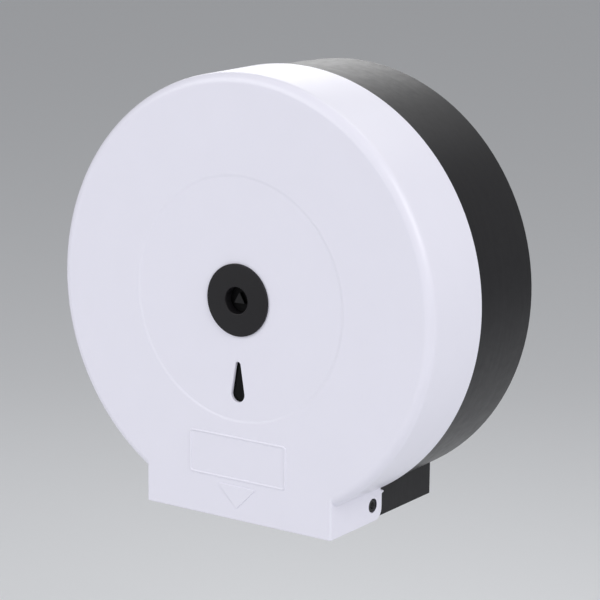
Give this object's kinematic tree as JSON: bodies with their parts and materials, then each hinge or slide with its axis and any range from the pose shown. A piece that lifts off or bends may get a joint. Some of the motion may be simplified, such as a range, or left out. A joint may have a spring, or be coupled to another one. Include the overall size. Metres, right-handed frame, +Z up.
{
  "type": "jumbo toilet roll dispenser",
  "caption": "Round wall-hung dispenser for a large toilet roll, with a hinged drum cover, a centre key lock, a level window, a turning hub and toothed tear strips in its throat.",
  "frame": {"origin": "on the wall plane, where the drum's axis meets it, in the middle of the four wall screw slots", "axes": "+Z up, -Y out of the wall towards the user, +X to the user's right"},
  "size_m": [0.272, 0.1197, 0.2744],
  "materials": {
    "white_abs": "satin",
    "black_abs": "semi-gloss",
    "charcoal_abs": "satin",
    "black_pom": "satin",
    "grey_abs": "satin",
    "hub_abs": "satin",
    "nylon": "matte",
    "smoked_acrylic": "polished",
    "stainless": "brushed",
    "zinc": "zinc plated",
    "spring_steel": "oiled"
  },
  "bodies": {
    "case": {"rear_case": "black_abs", "tear_strip_left": "stainless", "tear_strip_right": "stainless", "strip_screws": "zinc", "spindle_post": "grey_abs", "post_screws": "zinc", "keeper_plate": "stainless", "keeper_screws": "zinc", "hub_washer": "nylon", "hinge_pin_left": "black_pom", "hinge_pin_right": "black_pom"},
    "cover": {"front_cover": "white_abs", "level_window": "smoked_acrylic", "lock_bezel": "charcoal_abs", "ring_nut": "charcoal_abs"},
    "lock": {"lock_core": "black_pom", "lock_washer": "zinc", "lock_clip": "spring_steel", "lock_bar": "stainless", "bar_screw": "zinc"},
    "hub": {"roll_hub": "hub_abs", "core_adaptor": "charcoal_abs"}
  },
  "joints": [
    {"name": "cover_hinge", "type": "hinge", "parent": "case", "child": "cover", "pos_m": [0, -0.0723, -0.1265], "axis": [1, 0, 0], "range_deg": [0, 145]},
    {"name": "lock_turn", "type": "hinge", "parent": "cover", "child": "lock", "pos_m": [0, -0.1126, 0], "axis": [0, 1, 0], "range_deg": [0, 90]},
    {"name": "hub_spin", "type": "hinge", "parent": "case", "child": "hub", "pos_m": [0, -0.0555, 0], "axis": [0, 1, 0], "continuous": true}
  ]
}
